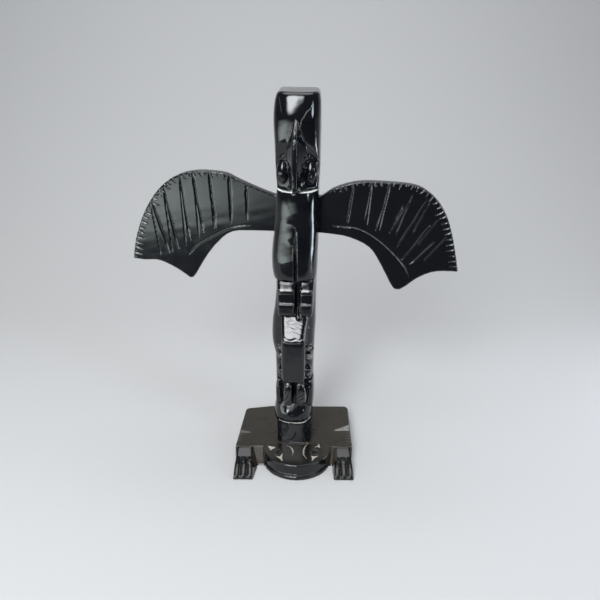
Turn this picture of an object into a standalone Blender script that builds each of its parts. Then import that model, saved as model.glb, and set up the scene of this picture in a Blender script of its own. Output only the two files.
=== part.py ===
"""Small carved totem: a thunderbird above a square-snouted bear, on a base carved as a crouching animal.

Metres, +Z up. The origin is the middle of the base's underside, and the figures face -Y.
"""
import math

import bmesh
import bpy
from mathutils import Vector

# The whole, and the gap between pieces that touch
HEIGHT = 0.517
GAP = 0.0003

# Base board; its forelegs and jaw part CROTCH_OUT in front of its middle
BASE_THICK = 0.022
BASE_WIDTH = 0.172
BASE_DEPTH = 0.155
BASE_CORNER = 0.007
BASE_EDGE = 0.0012
LEFT_BACK_IN = 0.0077
LEFT_BACK_SHORT = 0.0063
LEFT_BACK_RUN = 0.042
CROTCH_OUT = 0.029
WEB_REACH = 0.016
# Slope of a web, as shares of its reach towards the back and of the board's thickness
WEB_ROWS = [(1.0, 0.0), (-1.0, 0.0), (-0.45, 0.42), (0.0, 0.93), (1.0, 0.93)]

# Lower jaw of the base's face, the round plate between the forelegs
JAW_X = 0.0045
JAW_HALF = 0.050
JAW_LIP = 0.0045
JAW_LEDGE_HIGH = 0.0062
JAW_SIDE_SHARE = 0.15
JAW_NECK = 0.6
# The ledge by level, as shares of its height and of the lip
JAW_LEDGE_ROWS = [(0.0, 0.0), (0.75, 0.0), (1.0, 0.4)]

# Forelegs of the base; the left one spreads more on its inner side
PAW_WIDTH = 0.0292
TOE_COUNT = 3
RIGHT_SPREAD = 0.3

# Pole: the log that the figures are carved from, and its place on the base
POLE_TURN = math.radians(-5.0)
POLE_X = 0.0015
POLE_Y = 0.004
POLE_WIDTH = 0.0565
POLE_FRONT = 0.050
POLE_BACK = 0.042
POLE_CORNER = 0.003
CARVING_X = 0.0023
BEAR_X = 0.0013

# Wings: one board let into the pole's back
WING_THICK = 0.012
WING_ROOT = 0.0505
WING_HEIGHT = 0.3555
LEFT_REACH = 0.2345
RIGHT_REACH = 0.2193
WING_EDGE = 0.0012
GROOVE_WIDTH = 0.0022
GROOVE_DEEP = 0.0013
GROOVE_PINCH = 0.35
NOTCH_LONG = 0.0075
NOTCH_OUT = 0.0023
NOTCH_WIDE = 0.0033
NOTCH_DEEP = 0.0029
NOTCH_STEP = 0.0090

# Units of the carving, each about a millimetre: up, across and towards the front
FIGURE_HEIGHT = HEIGHT - BASE_THICK - GAP
UP = FIGURE_HEIGHT / 495
ACROSS = POLE_WIDTH / 56.5
DEEP = POLE_FRONT / 50

ROUND_STEPS = 18
LOBE_STEPS = 12
EGG_STEPS = (16, 10)
TOE_STEPS = 6
SHARP = math.radians(35)

# The log by level: level, left, right and back half widths, front, squareness of the front
POST_ROWS = [
    (0, 25.0, 25.0, 24.0, 25.0, 6.0), (34.5, 25.0, 25.0, 24.0, 25.0, 6.0),
    (37, 27.0, 25.4, 24.0, 29.4, 3.4), (40.5, 28.8, 25.8, 24.0, 33.0, 2.9),
    (45, 29.6, 26.0, 24.0, 35.2, 2.6), (50, 29.6, 26.0, 24.0, 35.8, 2.6),
    (56, 29.1, 25.8, 24.0, 34.4, 2.6), (62, 28.3, 25.6, 24.0, 31.8, 2.7),
    (68, 27.5, 25.4, 24.0, 28.9, 2.8),
]
LOG_ROWS = [
    (73, 26.8, 25.4, 24.0, 26.4, 3.0), (96, 26.7, 25.6, 24.0, 26.5, 3.0),
    (128, 27.0, 26.2, 24.3, 25.0, 3.2), (143, 27.4, 26.6, 24.7, 24.0, 3.2),
    (152, 29.4, 26.8, 25.0, 24.5, 3.2), (166, 31.8, 27.2, 25.5, 26.0, 3.0),
    (180, 32.2, 27.6, 25.7, 26.5, 3.0), (197, 31.2, 28.0, 25.9, 27.0, 3.0),
    (214, 28.4, 28.0, 26.0, 26.0, 3.2), (231, 26.5, 27.8, 26.1, 25.0, 3.4),
    (247, 25.4, 27.6, 26.2, 25.0, 3.4), (258.3, 26.2, 27.6, 26.4, 25.0, 3.2),
]
BODY_ROWS = [
    (259.5, 28.6, 28.0, 26.5, 30.6, 2.8), (264, 29.8, 28.4, 26.6, 32.8, 2.7),
    (274, 31.3, 28.8, 26.7, 34.0, 2.6), (288, 31.7, 29.0, 26.9, 33.8, 2.5),
    (304, 30.6, 29.4, 27.5, 32.2, 2.5), (320, 28.7, 29.6, 27.7, 30.6, 2.5),
    (336, 26.9, 29.5, 27.4, 30.2, 2.4), (351, 25.8, 29.3, 27.2, 30.8, 2.4),
    (366, 25.0, 29.0, 27.3, 30.2, 2.4), (378, 24.2, 28.6, 27.7, 28.4, 2.3),
]
HEAD_ROWS = [
    (379.2, 23.8, 28.4, 27.9, 19.5, 2.8), (392, 25.0, 29.4, 28.1, 22.0, 2.8),
    (409, 25.6, 30.2, 28.3, 25.0, 2.9), (431, 26.3, 30.4, 28.3, 28.0, 3.0),
    (453, 27.3, 30.4, 28.2, 30.2, 3.1), (466, 27.3, 30.4, 28.1, 30.4, 3.2),
    (476, 26.6, 30.2, 28.0, 29.4, 3.2), (485, 25.3, 29.7, 27.6, 27.8, 3.2),
    (491, 23.6, 28.8, 26.6, 26.0, 3.2), (494, 21.6, 27.4, 24.8, 23.6, 3.2),
    (495, 19.0, 25.4, 22.4, 20.6, 3.2),
]

# Crease between the thighs: level, half width, front and depth
CREASE_ROWS = [
    (256, 2.9, 33.0, 8.0), (275, 2.5, 34.0, 7.0), (300, 1.9, 32.8, 5.0),
    (318, 1.3, 30.9, 3.0), (329, 0.4, 30.4, 0.8),
]
CREASE_OVER = 3.0

# Lobes by level: level, half width, front
FOOT_ROWS = [
    (213.0, 0.84, 36.6), (215.5, 0.90, 38.4), (230.2, 1.0, 39.3),
    (231.6, 0.98, 36.8), (247.3, 0.99, 36.4), (249.6, 1.0, 35.2),
    (258.0, 1.03, 28.8), (261.0, 1.0, 26.0),
]
SNOUT_ROWS = [
    (114.5, 14.4, 44.0), (117.5, 15.5, 48.0), (122, 16.0, 49.3),
    (147, 16.3, 50.0), (176, 16.4, 50.0), (182, 16.2, 49.2),
    (186, 16.4, 47.0), (198, 17.6, 39.2), (210, 18.6, 31.2),
    (217, 19.2, 26.6),
]
CREST_ROWS = [(205, 5.4, 35.2), (213, 4.0, 31.6), (222, 2.2, 28.6), (234, 0.5, 25.3)]
FOREPAW_ROWS = [
    (75.5, 5.4, 41.5), (79, 6.5, 45.2), (90, 7.0, 47.0),
    (104, 6.9, 46.4), (111, 6.3, 44.8), (116, 5.0, 40.5),
]
KNEE_ROWS = [(68, 3.6, 27.0), (73, 5.0, 31.4), (86, 5.6, 32.6), (99, 5.2, 31.2), (109, 3.8, 27.0)]
# The beak by level: level, half width at its root, half width of its ridge, ridge
BEAK_ROWS = [
    (380.2, 7.4, 1.6, 45.2), (383, 8.0, 2.2, 47.8), (389, 8.6, 2.4, 48.6),
    (400, 9.6, 2.5, 48.2), (415, 11.6, 2.5, 47.0), (428, 12.6, 2.5, 45.4),
    (438.5, 9.8, 2.4, 43.8), (446, 6.8, 2.2, 42.2), (453, 4.6, 1.8, 39.8),
    (459, 2.7, 1.2, 35.8), (464, 0.9, 0.5, 30.6),
]
BEAK_ROOT = 27.0
BEAK_BACK = 8.0
LOBE_BACK = 6.0

# Squareness of the lobes seen from above
FOOT_POWER = 9.0
SNOUT_POWER = 8.0
CREST_POWER = 2.4
FOREPAW_POWER = 4.5
KNEE_POWER = 3.0

# Lobes on both sides: how far out, how far forward, level, and the three radii
BIRD_EYE = (17.2, 15.5, 400.5, 8.8, 9.0, 15.0)
BEAR_EYE = (18.5, 21.6, 145.8, 6.4, 6.0, 6.6)
BEAR_BROW = (17.4, 21.5, 158.5, 9.0, 6.2, 4.4)
BEAR_CHEEK = (17.2, 23.0, 124.0, 7.0, 8.4, 9.0)

# Brow of the bird: points of the cove's upper face, and of the cheek below it
BROW_FACE = [(9.4, 29.0, 439), (25, 17.5, 422), (15, 19.0, 420.5)]
CHEEK_FACE = [(8, 21.5, 400), (28, 9.0, 400), (8, 21.5, 440)]
COVE_POINT = (20, 40, 385)
COVE_INNER = 4.0
COVE_LOW = 379.6
COVE_HIGH = 470.0

FOREPAW_OUT = 8.2
KNEE_OUT = 21.6
FOOT_SLOT = (3.4, 2.6)
FOOT_OUTER = 23.8

# Wing outlines from the root out, as how far out and how high: upper edge, outer lower edge, inner edge
LEFT_UPPER = [
    (31, 25.2), (52, 32.5), (80.5, 44.6), (97, 52.3), (120, 54.6), (139, 54.2), (158, 49.8),
    (177, 39.8), (197, 20.2), (213.6, -6.0), (226, -36), (231.5, -56), (234.5, -72),
]
LEFT_OUTER = [(234.5, -72), (218, -74), (200, -73.3), (187, -77.8), (170, -87), (154.5, -98.5)]
LEFT_INNER = [
    (154.5, -98.5), (149.4, -97.3), (142, -86.4), (126, -60.8), (105, -36.8), (90, -27.4), (72.5, -25.6),
    (31, -25.25),
]
LEFT_LINE = [(66, -17), (92, -21.2), (118, -34.7), (142, -49), (154, -63.2)]
LEFT_FEATHERS = [
    (69.6, 33, 69, -10), (93.2, 49, 92.1, -15), (119.4, 51, 115.5, -24), (140, 50, 137.5, -37),
    (159.5, 45, 157, -50), (182.6, 30, 177, -60), (202, 6, 194, -66),
]
RIGHT_UPPER = [
    (31, 25.2), (47, 36.2), (72, 44.6), (90, 46.6), (121, 46.0), (146, 44.2), (163, 39.2),
    (182, 24.9), (196.7, 3.6), (207.3, -25.2), (214.5, -52), (219.3, -74),
]
RIGHT_OUTER = [(219.3, -74), (197, -74.1), (182, -77), (164.3, -86.2), (150, -98.5), (142.5, -103.7)]
RIGHT_INNER = [
    (142.5, -103.7), (134, -102.8), (123.6, -85.1), (107.3, -56.2), (97, -43.5), (80, -34), (60, -28),
    (31, -25.25),
]
RIGHT_LINE = [
    (44.7, -14.9), (61.5, -15.6), (80.8, -17.7), (103, -29), (125, -46.6), (146, -68.7), (154, -88),
]
RIGHT_FEATHERS = [
    (72.2, 38, 66.4, -11), (96, 42.8, 92, -14), (119.7, 42, 108, -22), (150, 34, 130, -26),
    (173, 24, 152, -24), (188, 2, 160, -40), (201, -22, 170, -62),
]
NOTCHES_FROM = 92
# Where a feather's groove is set out along its length
FEATHER_SHARES = (0, 0.12, 0.5, 0.88, 1)

# Forelegs as shares: how far forward of the wrist, half width, height, depth of the toes' grooves,
# and how far the inner side spreads on the ground
PAW_ROWS = [
    (-0.12, 0.86, 0.93, 0.0, 0.0), (0.0, 0.90, 0.99, 0.0, 0.10),
    (0.06, 0.91, 0.945, 0.0, 0.16), (0.31, 0.94, 0.71, 0.0, 0.36),
    (0.50, 0.97, 0.665, 0.12, 0.30), (0.62, 0.99, 0.64, 0.26, 0.20),
    (0.74, 1.0, 0.575, 0.34, 0.11), (0.87, 1.0, 0.43, 0.44, 0.04),
    (0.95, 0.99, 0.32, 0.55, 0.0), (0.99, 0.97, 0.17, 0.6, 0.0),
    (1.0, 0.95, 0.04, 0.6, 0.0),
]
TOE_TIP = 0.0028
TOE_POWER = 5
PAW_POWER = 7

# Chips in the base's flanks, as shares of the half width, half depth and thickness: side, tip across,
# tip along, where they open at the side, back and front, and how deep
FLANK_CHIPS = [(-1, 0.674, 0.048, 0.199, 0.044, 0.28), (1, 0.645, 0.129, 0.396, 0.145, 0.386)]
# Nicks in front of the chips: side, where the first one is as a share of the half depth, and how many
FLANK_NICKS = [(-1, 0.0, 3), (1, 0.084, 4)]
NICK_APART = 0.0075
NICK_WIDE = 0.0026
NICK_LONG = 0.0065
NICK_DEEP = 0.0060
# How far the chips' and nicks' tools stand clear of the board
TOOL_OUT = 0.0034
TOOL_RISE = 0.0005

BLACK = (0.012, 0.013, 0.015, 1.0)
DUSTY_BLACK = (0.018, 0.017, 0.016, 1.0)


def clear_scene():
    for thing in list(bpy.data.objects):
        bpy.data.objects.remove(thing, do_unlink=True)


def lacquer(name, color, roughness):
    material = bpy.data.materials.new(name)
    material.use_nodes = True
    shader = material.node_tree.nodes["Principled BSDF"]
    shader.inputs["Base Color"].default_value = color
    shader.inputs["Roughness"].default_value = roughness
    shader.inputs["Metallic"].default_value = 0.0
    return material


def add_object(name, bm, parent=None):
    bmesh.ops.recalc_face_normals(bm, faces=bm.faces)
    mesh = bpy.data.meshes.new(name)
    bm.to_mesh(mesh)
    bm.free()
    mesh.shade_smooth()
    mesh.set_sharp_from_angle(angle=SHARP)
    thing = bpy.data.objects.new(name, mesh)
    bpy.context.collection.objects.link(thing)
    thing.parent = parent
    return thing


def boolean(target, tool, operation, many=False):
    """Adds the tool to the target, or cuts it away, and keeps the tool as a wire guide."""
    modifier = target.modifiers.new(tool.name, "BOOLEAN")
    modifier.operation = operation
    modifier.solver = "EXACT"
    modifier.use_self = many
    modifier.object = tool
    tool.hide_render = True
    tool.display_type = "WIRE"


def bevel(target, width):
    modifier = target.modifiers.new("edge", "BEVEL")
    modifier.width = width
    modifier.segments = 1
    modifier.limit_method = "ANGLE"
    modifier.angle_limit = SHARP


def curve_value(a, b, c, d, t):
    """A value between b and c on a curve that never overshoots its neighbours."""
    slope_b = shared_slope(b - a, c - b)
    slope_c = shared_slope(c - b, d - c)
    return (
        b * (2 * t ** 3 - 3 * t ** 2 + 1)
        + slope_b * (t ** 3 - 2 * t ** 2 + t)
        + c * (3 * t ** 2 - 2 * t ** 3)
        + slope_c * (t ** 3 - t ** 2)
    )


def shared_slope(before, after):
    if before * after <= 0:
        return 0.0
    return 2 * before * after / (before + after)


def smooth_rows(rows, steps):
    """The rows with steps between each two, on a curve through them all."""
    result = []
    last = len(rows) - 1
    for i in range(last):
        four = rows[max(i - 1, 0)], rows[i], rows[i + 1], rows[min(i + 2, last)]
        for step in range(steps):
            result.append(tuple(curve_value(*values, step / steps) for values in zip(*four)))
    result.append(tuple(rows[last]))
    return result


def loft(bm, rings):
    """Closed solid through rings of equally many points, capped at both ends."""
    loops = [[bm.verts.new(point) for point in ring] for ring in rings]
    for low, high in zip(loops, loops[1:]):
        for i in range(len(low)):
            j = (i + 1) % len(low)
            bm.faces.new((low[i], low[j], high[j], high[i]))
    bm.faces.new(loops[0])
    bm.faces.new(loops[-1])


def power_arc(steps, power):
    """Points of half a superellipse, from one side over the top to the other."""
    points = []
    for i in range(steps + 1):
        angle = math.pi * i / steps
        across = -math.cos(angle)
        points.append((math.copysign(abs(across) ** (2 / power), across), math.sin(angle) ** (2 / power)))
    return points


def log_ring(row):
    """The log at one level: a bulging front, straight sides and a flat back."""
    level, left, right, back_half, front, power = row
    middle, half = (right - left) / 2 * ACROSS, (right + left) / 2 * ACROSS
    back_half = back_half * ACROSS
    points = [(middle + x * half, -y * front * DEEP) for x, y in power_arc(ROUND_STEPS, power)]
    inner = back_half - POLE_CORNER
    points += [(back_half, POLE_BACK - POLE_CORNER), (inner, POLE_BACK), (-inner, POLE_BACK)]
    points.append((-back_half, POLE_BACK - POLE_CORNER))
    return [(x, y, level * UP) for x, y in points]


def lobe_ring(x_mid, half, front, back, level, power):
    """A whole superellipse at one level, between its front and its back."""
    middle, reach = (back - front) / 2, (back + front) / 2
    points = []
    for x, y in power_arc(LOBE_STEPS, power):
        points.append((x_mid + x * half, middle - y * reach, level))
    for x, y in reversed(power_arc(LOBE_STEPS, power)[1:-1]):
        points.append((x_mid + x * half, middle + y * reach, level))
    return points


def lobe(name, x_mid, rows, power, parent, width=1.0, middle=CARVING_X):
    """A carved lobe that stands out from the log, as rows of level, half width and front."""
    rings = []
    x, back = middle + x_mid * ACROSS, LOBE_BACK * DEEP
    for level, half, front in rows:
        rings.append(lobe_ring(x, half * width * ACROSS, front * DEEP, back, level * UP, power))
    bm = bmesh.new()
    loft(bm, rings)
    return add_object(name, bm, parent)


def egg(name, side, place, parent, middle=CARVING_X):
    """An egg-shaped swelling on one side of the carving."""
    out, front, level, radius_x, radius_y, radius_z = place
    bm = bmesh.new()
    bmesh.ops.create_uvsphere(bm, u_segments=EGG_STEPS[0], v_segments=EGG_STEPS[1], radius=1.0)
    for vert in bm.verts:
        vert.co = Vector((
            middle + (side * out + vert.co.x * radius_x) * ACROSS,
            (vert.co.y * radius_y - front) * DEEP,
            (level + vert.co.z * radius_z) * UP,
        ))
    return add_object(name, bm, parent)


def block(bm, low, high):
    result = bmesh.ops.create_cube(bm, size=1.0)
    middle, size = (Vector(low) + Vector(high)) / 2, Vector(high) - Vector(low)
    for vert in result["verts"]:
        vert.co = middle + Vector(a * b for a, b in zip(vert.co, size))
    return result["verts"]


def keep_side(bm, points, side_point):
    """Cuts the solid at the plane through three points and keeps the part on side_point's side."""
    a, b, c = (Vector(point) for point in points)
    normal = (b - a).cross(c - a).normalized()
    if (Vector(side_point) - a).dot(normal) > 0:
        normal = -normal
    everything = bm.verts[:] + bm.edges[:] + bm.faces[:]
    bmesh.ops.bisect_plane(bm, geom=everything, plane_co=a, plane_no=normal, clear_outer=True)
    bmesh.ops.holes_fill(bm, edges=bm.edges[:])


def spike(bm, tip, edge_a, edge_b, bottom):
    """Four-sided chip tool: a tip on the surface, two corners at the edge and one below."""
    corners = [bm.verts.new(point) for point in (tip, edge_a, edge_b, bottom)]
    for i in range(4):
        bm.faces.new([corners[j] for j in range(4) if j != i])


def brow_cove(side, parent):
    """What is cut away under one brow of the bird, down to its cheek."""
    def place(point):
        out, front, level = point
        return (CARVING_X + side * out * ACROSS, -front * DEEP, level * UP)

    bm = bmesh.new()
    inner, outer = sorted((CARVING_X + side * COVE_INNER * ACROSS, side * POLE_WIDTH))
    block(bm, (inner, -2 * POLE_FRONT, COVE_LOW * UP), (outer, POLE_BACK, COVE_HIGH * UP))
    for face in (BROW_FACE, CHEEK_FACE):
        keep_side(bm, [place(point) for point in face], place(COVE_POINT))
    return add_object("brow_cove_%d" % side, bm, parent)


def beak(parent):
    """The long beak: a blade with a narrow flat ridge, from between the brows to the chest."""
    rings = []
    for level, root, ridge, front in smooth_rows(BEAK_ROWS, 2):
        outline = [(root, BEAK_BACK), (root, BEAK_ROOT), (ridge, front)]
        outline += [(-x, y) for x, y in reversed(outline)]
        rings.append([(CARVING_X + x * ACROSS, -y * DEEP, level * UP) for x, y in outline])
    bm = bmesh.new()
    loft(bm, rings)
    return add_object("beak", bm, parent)


def crease(parent):
    """Wedge that parts the bird's thighs, deepest at their lower end."""
    rings = []
    for level, half, front, deep in CREASE_ROWS:
        outside = -(front + CREASE_OVER) * DEEP
        width = half * (deep + CREASE_OVER) / deep * ACROSS
        ring = [(-width, outside), (width, outside), (0, -(front - deep) * DEEP)]
        rings.append([(CARVING_X + x, y, level * UP) for x, y in ring])
    bm = bmesh.new()
    loft(bm, rings)
    return add_object("crease", bm, parent)


def pole_solid(parent):
    """The carved log, from the square post on the base to the top of the bird's head."""
    rings = []
    for rows, steps in ((POST_ROWS, 1), (LOG_ROWS, 2), (BODY_ROWS, 2), (HEAD_ROWS, 2)):
        rings += [log_ring(row) for row in smooth_rows(rows, steps)]
    bm = bmesh.new()
    loft(bm, rings)
    pole = add_object("pole", bm, parent)
    boolean(pole, wing_housing(parent), "DIFFERENCE")

    for side in (-1, 1):
        boolean(pole, brow_cove(side, parent), "DIFFERENCE")
    boolean(pole, beak(parent), "UNION")
    boolean(pole, crease(parent), "DIFFERENCE")
    for side in (-1, 1):
        name = "left" if side < 0 else "right"
        boolean(pole, egg(name + "_bird_eye", side, BIRD_EYE, parent), "UNION")
        slot_x, slot_half = FOOT_SLOT
        inner = slot_x + side * slot_half
        outer = side * FOOT_OUTER
        foot_x, foot_half = (inner + outer) / 2, abs(outer - inner) / 2
        foot = lobe(name + "_foot", foot_x, FOOT_ROWS, FOOT_POWER, parent, width=foot_half)
        boolean(pole, foot, "UNION")
    boolean(pole, lobe("snout", 0, SNOUT_ROWS, SNOUT_POWER, parent, middle=BEAR_X), "UNION")
    boolean(pole, lobe("crest", FOOT_SLOT[0], CREST_ROWS, CREST_POWER, parent), "UNION")
    for side in (-1, 1):
        name = "left" if side < 0 else "right"
        boolean(pole, egg(name + "_bear_cheek", side, BEAR_CHEEK, parent, BEAR_X), "UNION")
        boolean(pole, egg(name + "_bear_eye", side, BEAR_EYE, parent, BEAR_X), "UNION")
        boolean(pole, egg(name + "_bear_brow", side, BEAR_BROW, parent, BEAR_X), "UNION")
        paw = lobe(name + "_forepaw", side * FOREPAW_OUT, FOREPAW_ROWS, FOREPAW_POWER, parent)
        boolean(pole, paw, "UNION")
        knee = lobe(name + "_knee", side * KNEE_OUT, KNEE_ROWS, KNEE_POWER, parent, middle=BEAR_X)
        boolean(pole, knee, "UNION")
    return pole


def wing_housing(parent):
    """The notch across the pole's back that holds the wings' board."""
    bm = bmesh.new()
    root_low = WING_HEIGHT - BASE_THICK - GAP - WING_ROOT / 2
    block(
        bm,
        (-POLE_WIDTH, POLE_BACK - WING_THICK - GAP, root_low - GAP),
        (POLE_WIDTH, POLE_BACK + WING_THICK, root_low + WING_ROOT + GAP),
    )
    return add_object("wing_housing", bm, parent)


def wing_curve(points, reach, nominal, steps):
    """Smooth edge of a wing, in metres, through points in units of its reach."""
    unit = reach / nominal
    return [(x * unit, z * unit) for x, z in smooth_path(points, steps)]


def smooth_path(points, steps):
    """Curve through points of the plane, rounded everywhere but at its ends."""
    result = []
    last = len(points) - 1
    for i in range(last):
        a, b = Vector(points[max(i - 1, 0)]), Vector(points[i])
        c, d = Vector(points[i + 1]), Vector(points[min(i + 2, last)])
        chord = (c - b).length
        slope_b = (c - a).normalized() * chord
        slope_c = (d - b).normalized() * chord
        for step in range(steps):
            t = step / steps
            point = b * (2 * t ** 3 - 3 * t ** 2 + 1) + slope_b * (t ** 3 - 2 * t ** 2 + t)
            point += c * (3 * t ** 2 - 2 * t ** 3) + slope_c * (t ** 3 - t ** 2)
            result.append(tuple(point))
    result.append(tuple(points[last]))
    return result


def wing_outline(side, reach, upper, outer, inner):
    """One wing's outline, from its root's upper corner round to the lower one."""
    nominal = upper[-1][0]
    points = wing_curve(upper, reach, nominal, 3)[1:]
    points += wing_curve(outer, reach, nominal, 2)[1:]
    points += wing_curve(inner, reach, nominal, 2)[1:-1]
    root_x = upper[0][0] * reach / nominal
    points = [(root_x, WING_ROOT / 2)] + points + [(root_x, -WING_ROOT / 2)]
    return [(side * x, z) for x, z in points]


def groove(bm, points, front_y):
    """V-groove tool along points of the board's front face, pinched at both ends."""
    rings = []
    for i, point in enumerate(points):
        here = Vector(point)
        along = Vector(points[min(i + 1, len(points) - 1)]) - Vector(points[max(i - 1, 0)])
        across = Vector((-along.y, along.x)).normalized()
        share = GROOVE_PINCH if i in (0, len(points) - 1) else 1.0
        half, deep = GROOVE_WIDTH * share, GROOVE_DEEP * share
        left, right = here + across * half, here - across * half
        over, under = front_y - deep, front_y + deep
        rings.append([(left.x, over, left.y), (here.x, under, here.y), (right.x, over, right.y)])
    loft(bm, rings)


def edge_notches(bm, side, curve, from_x, front_y):
    """Chip tools at even steps along an edge of a wing, each square to the edge."""
    travelled = 0.0
    for here, there in zip(curve, curve[1:]):
        run = Vector(there) - Vector(here)
        while travelled <= run.length:
            point = Vector(here) + run.normalized() * travelled
            if point.x > from_x:
                add_notch(bm, side, point, run.normalized(), front_y)
            travelled += NOTCH_STEP
        travelled -= run.length


def add_notch(bm, side, point, along, front_y):
    inward = Vector((along.y, -along.x))
    tip = point + inward * NOTCH_LONG
    out = point - inward * NOTCH_OUT
    half = along * NOTCH_WIDE / 2
    a, b = out + half, out - half
    rise = TOOL_RISE
    spike(
        bm,
        (side * tip.x, front_y - rise, tip.y),
        (side * a.x, front_y - rise, a.y),
        (side * b.x, front_y - rise, b.y),
        (side * out.x, front_y + NOTCH_DEEP, out.y),
    )


def wings_board(parent):
    """Both wings and the strip between them, as one board with its grain along the wings."""
    holder = bpy.data.objects.new("wings_place", None)
    bpy.context.collection.objects.link(holder)
    holder.parent = parent
    holder.location = (0, 0, WING_HEIGHT - BASE_THICK - GAP)
    left = wing_outline(-1, LEFT_REACH, LEFT_UPPER, LEFT_OUTER, LEFT_INNER)
    right = wing_outline(1, RIGHT_REACH, RIGHT_UPPER, RIGHT_OUTER, RIGHT_INNER)
    front_y = POLE_BACK - WING_THICK
    bm = bmesh.new()
    outline = left + right[::-1]
    loft(bm, [[(x, y, z) for x, z in outline] for y in (front_y, POLE_BACK)])
    board = add_object("wings", bm, holder)
    bevel(board, WING_EDGE)

    grooves, line, notches = bmesh.new(), bmesh.new(), bmesh.new()
    sides = (
        (-1, LEFT_REACH, LEFT_UPPER, LEFT_OUTER, LEFT_LINE, LEFT_FEATHERS),
        (1, RIGHT_REACH, RIGHT_UPPER, RIGHT_OUTER, RIGHT_LINE, RIGHT_FEATHERS),
    )
    for side, reach, upper, outer, quill_line, feathers in sides:
        nominal = upper[-1][0]
        unit = reach / nominal
        for top_x, top_z, end_x, end_z in feathers:
            top, end = Vector((top_x, top_z)) * unit, Vector((end_x, end_z)) * unit
            run = [top.lerp(end, share) for share in FEATHER_SHARES]
            groove(grooves, [(side * point.x, point.y) for point in run], front_y)
        run = wing_curve(quill_line, reach, nominal, 2)
        groove(line, [(side * x, z) for x, z in run], front_y)
        for edge in (upper, outer):
            curve = wing_curve(edge, reach, nominal, 3)
            edge_notches(notches, side, curve, NOTCHES_FROM * unit, front_y)
    boolean(board, add_object("feather_grooves", grooves, holder), "DIFFERENCE", many=True)
    boolean(board, add_object("quill_lines", line, holder), "DIFFERENCE", many=True)
    boolean(board, add_object("edge_notches", notches, holder), "DIFFERENCE", many=True)
    return board


def corner_arc(x, y, radius, start, steps=4):
    """Quarter turn about a corner's centre, from the start angle on, clockwise from above."""
    angles = [start - math.pi / 2 * i / steps for i in range(steps + 1)]
    return [(x + radius * math.cos(angle), y + radius * math.sin(angle)) for angle in angles]


def jaw_arc(half, reach):
    """The jaw's round front edge, from its left to its right."""
    angles = [math.pi * i / ROUND_STEPS for i in range(ROUND_STEPS + 1)]
    return [(JAW_X - half * math.cos(angle), -CROTCH_OUT - reach * math.sin(angle)) for angle in angles]


def base_board():
    """The base: board, jaw, forelegs with toes, and the chips along its flanks."""
    half, back = BASE_WIDTH / 2, BASE_DEPTH / 2
    jaw_reach = BASE_DEPTH / 2 - CROTCH_OUT
    corner_x, corner_y = -half + LEFT_BACK_IN, back - LEFT_BACK_SHORT
    outline = [(-half, -CROTCH_OUT)]
    outline += corner_arc(corner_x + BASE_CORNER, corner_y - BASE_CORNER, BASE_CORNER, math.pi)
    outline.append((corner_x + LEFT_BACK_RUN, back))
    outline += corner_arc(half - BASE_CORNER, back - BASE_CORNER, BASE_CORNER, math.pi / 2)
    outline.append((half, -CROTCH_OUT))
    outline += jaw_arc(JAW_HALF - JAW_LIP * JAW_SIDE_SHARE, jaw_reach - JAW_LIP)[::-1]
    bm = bmesh.new()
    loft(bm, [[(x, y, z) for x, y in outline] for z in (0.0, BASE_THICK)])
    base = add_object("base", bm)
    bevel(base, BASE_EDGE)

    bm = bmesh.new()
    rings = []
    for high_share, lip_share in JAW_LEDGE_ROWS:
        level, inset = high_share * JAW_LEDGE_HIGH, lip_share * JAW_LIP
        arc = jaw_arc(JAW_HALF - inset * JAW_SIDE_SHARE, jaw_reach - inset)
        arc += [(JAW_X + JAW_HALF * JAW_NECK, 0), (JAW_X - JAW_HALF * JAW_NECK, 0)]
        rings.append([(x, y, level) for x, y in arc])
    loft(bm, rings)
    boolean(base, add_object("jaw_ledge", bm), "UNION")

    for side in (-1, 1):
        name = "left" if side < 0 else "right"
        boolean(base, foreleg(name + "_foreleg", side, jaw_reach), "UNION")
    for side in (-1, 1):
        boolean(base, web(side), "UNION")

    chips = bmesh.new()
    out = half + TOOL_OUT
    top = BASE_THICK + TOOL_RISE
    for side, tip_x, tip_y, back_y, front_y, share in FLANK_CHIPS:
        deep = share * BASE_THICK
        spike(
            chips, (side * tip_x * half, tip_y * back, top), (side * out, back_y * back, top),
            (side * out, front_y * back, top), (side * out, front_y * back, BASE_THICK - deep))
    boolean(base, add_object("flank_chips", chips), "DIFFERENCE", many=True)
    nicks = bmesh.new()
    for side, first, count in FLANK_NICKS:
        for i in range(count):
            y = first * back - i * NICK_APART
            spike(
                nicks, (side * (half - NICK_LONG), y, top), (side * out, y + NICK_WIDE / 2, top),
                (side * out, y - NICK_WIDE / 2, top), (side * out, y, BASE_THICK - NICK_DEEP))
    boolean(base, add_object("flank_nicks", nicks), "DIFFERENCE", many=True)
    return base


def web(side):
    """The slope between a foreleg and the jaw, from the board's top down to the ground."""
    x_paw = side * (BASE_WIDTH - PAW_WIDTH) / 2
    x_jaw = JAW_X + side * JAW_HALF * JAW_NECK
    profile = [(out * WEB_REACH - CROTCH_OUT, high * BASE_THICK) for out, high in WEB_ROWS]
    bm = bmesh.new()
    loft(bm, [[(x, y, z) for y, z in profile] for x in (x_paw, x_jaw)])
    return add_object("web_%d" % side, bm)


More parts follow.
